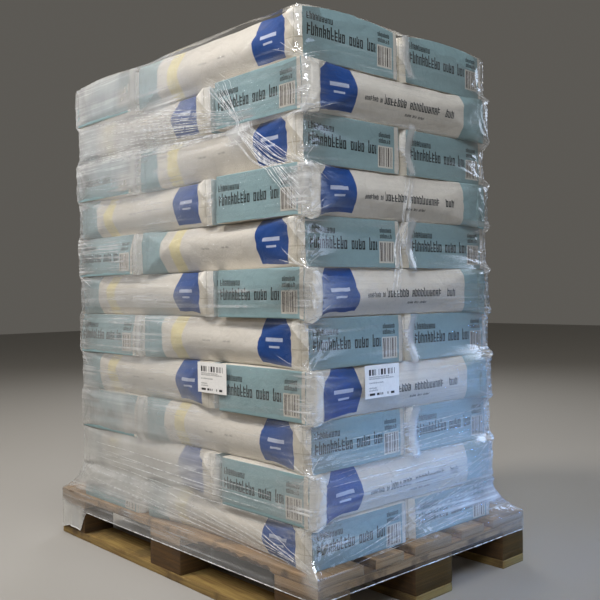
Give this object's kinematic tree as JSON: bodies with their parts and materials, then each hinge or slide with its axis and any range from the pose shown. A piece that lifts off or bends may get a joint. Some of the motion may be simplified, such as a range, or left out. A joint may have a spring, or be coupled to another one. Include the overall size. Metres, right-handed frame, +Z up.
{
  "type": "pallet of sacks",
  "caption": "Wooden pallet loaded with layers of filled paper valve sacks in an interlocking stack, wrapped in clear stretch film that carries paper labels.",
  "frame": {"origin": "on the floor, under the middle of the pallet", "axes": "+Z up, X along the long side of the pallet, Y along its short side; the load stands towards the corner at +X, -Y"},
  "size_m": [1.2032, 0.8032, 1.43],
  "materials": {
    "deck_wood": "rough sawn softwood, used",
    "block_wood": "pallet blocks, dark and dirty",
    "base_wood": "rough sawn softwood, yellowish",
    "sack_paper": "matt sack paper with flat printed panels",
    "clear_film": "clear stretch film, wrinkled",
    "label_paper": "white label paper with a bar pattern"
  },
  "bodies": {
    "root": {"bottom_board_1": "base_wood", "bottom_board_2": "base_wood", "bottom_board_3": "base_wood", "block_1_1": "block_wood", "block_1_2": "block_wood", "block_1_3": "block_wood", "block_2_1": "block_wood", "block_2_2": "block_wood", "block_2_3": "block_wood", "block_3_1": "block_wood", "block_3_2": "block_wood", "block_3_3": "block_wood", "cross_board_1": "deck_wood", "cross_board_2": "deck_wood", "cross_board_3": "deck_wood", "deck_board_1": "deck_wood", "deck_board_2": "deck_wood", "deck_board_3": "deck_wood", "deck_board_4": "deck_wood", "deck_board_5": "deck_wood", "sack_01_front": "sack_paper", "sack_01_back": "sack_paper", "sack_01_cross": "sack_paper", "sack_02_front": "sack_paper", "sack_02_back": "sack_paper", "sack_02_cross": "sack_paper", "sack_03_front": "sack_paper", "sack_03_back": "sack_paper", "sack_03_cross": "sack_paper", "sack_04_front": "sack_paper", "sack_04_back": "sack_paper", "sack_04_cross": "sack_paper", "sack_05_front": "sack_paper", "sack_05_back": "sack_paper", "sack_05_cross": "sack_paper", "sack_06_front": "sack_paper", "sack_06_back": "sack_paper", "sack_06_cross": "sack_paper", "sack_07_front": "sack_paper", "sack_07_back": "sack_paper", "sack_07_cross": "sack_paper", "sack_08_front": "sack_paper", "sack_08_back": "sack_paper", "sack_08_cross": "sack_paper", "sack_09_front": "sack_paper", "sack_09_back": "sack_paper", "sack_09_cross": "sack_paper", "sack_10_front": "sack_paper", "sack_10_back": "sack_paper", "sack_10_cross": "sack_paper", "sack_11_front": "sack_paper", "sack_11_back": "sack_paper", "sack_11_cross": "sack_paper", "stretch_film": "clear_film", "front_label": "label_paper", "end_label": "label_paper"}
  },
  "joints": []
}
